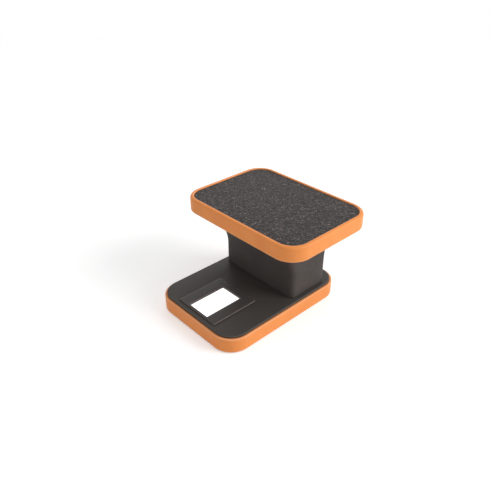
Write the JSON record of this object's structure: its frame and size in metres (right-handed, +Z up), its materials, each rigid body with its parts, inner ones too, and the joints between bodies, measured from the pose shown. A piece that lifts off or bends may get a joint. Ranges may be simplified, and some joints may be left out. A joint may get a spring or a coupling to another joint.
{
  "type": "film negative scanner",
  "caption": "Phone film scanner: backlit base with a film bed, soft folding column and a leatherette phone deck that swivels over the base.",
  "frame": {"origin": "under the middle of the whole outline, on the plane that the rubber feet stand on", "axes": "+Z up; +Y to the rear, where the column stands; +X to the right of someone who faces the lit window"},
  "size_m": [0.145, 0.156, 0.0945],
  "materials": {
    "orange_silicone": "satin moulded silicone",
    "black_abs": "fine spark-eroded texture",
    "panel_black": "fine matt texture with a soft edge",
    "bed_black": "satin, with softly rounded edges",
    "opal_acrylic": "opal, lit from behind",
    "white_abs": "matt white",
    "board_green": "solder mask",
    "led_lens": "phosphor under a clear lens",
    "component_black": "moulded epoxy",
    "cell_wrap": "plain shrink wrap",
    "nickel_steel": "nickel plated",
    "black_rubber": "matt",
    "screw_steel": "zinc plated",
    "black_silicone": "matt moulded silicone",
    "button_black": "polished",
    "leatherette": "pebbled grain",
    "natural_nylon": "waxy"
  },
  "bodies": {
    "base": {"base_band": "orange_silicone", "base_shell": "black_abs", "base_panel": "panel_black", "film_bed": "bed_black", "window_diffuser": "opal_acrylic", "light_box": "white_abs", "led_board": "board_green", "leds": "led_lens", "driver_parts": "component_black", "latch_switch": "component_black", "front_cell": "cell_wrap", "rear_cell": "cell_wrap", "contact_springs": "nickel_steel", "contact_plates": "nickel_steel", "rubber_feet": "black_rubber", "base_screws": "screw_steel", "board_screws": "screw_steel", "column_foot": "black_abs", "foot_screws": "screw_steel", "column_sleeve": "black_silicone"},
    "battery_door": {"battery_door": "black_abs"},
    "power_button": {"power_button": "button_black"},
    "head": {"column_head": "black_abs"},
    "deck": {"deck_band": "orange_silicone", "deck_shell": "black_abs", "deck_lid": "black_abs", "phone_pad": "leatherette", "deck_screws": "screw_steel", "swivel_bush": "natural_nylon", "glide_washer": "natural_nylon", "swivel_washer": "screw_steel", "swivel_screw": "screw_steel", "stop_pin": "screw_steel"}
  },
  "joints": [
    {"name": "column_fold", "type": "slide", "parent": "base", "child": "head", "axis": [0, 0, 1], "range_m": [-0.051, 0], "deforming": ["column_sleeve"]},
    {"name": "deck_swivel", "type": "hinge", "parent": "head", "child": "deck", "pos_m": [0.0155, 0.01, 0.0795], "axis": [0, 0, 1], "range_deg": [0, 90]},
    {"name": "battery_door_slide", "type": "slide", "parent": "base", "child": "battery_door", "axis": [0, 1, 0], "range_m": [0, 0.008]},
    {"name": "power_button_press", "type": "slide", "parent": "base", "child": "power_button", "axis": [1, 0, 0], "range_m": [0, 0.0012], "stiffness_N_per_m": 400, "springref_m": -0.0005}
  ]
}
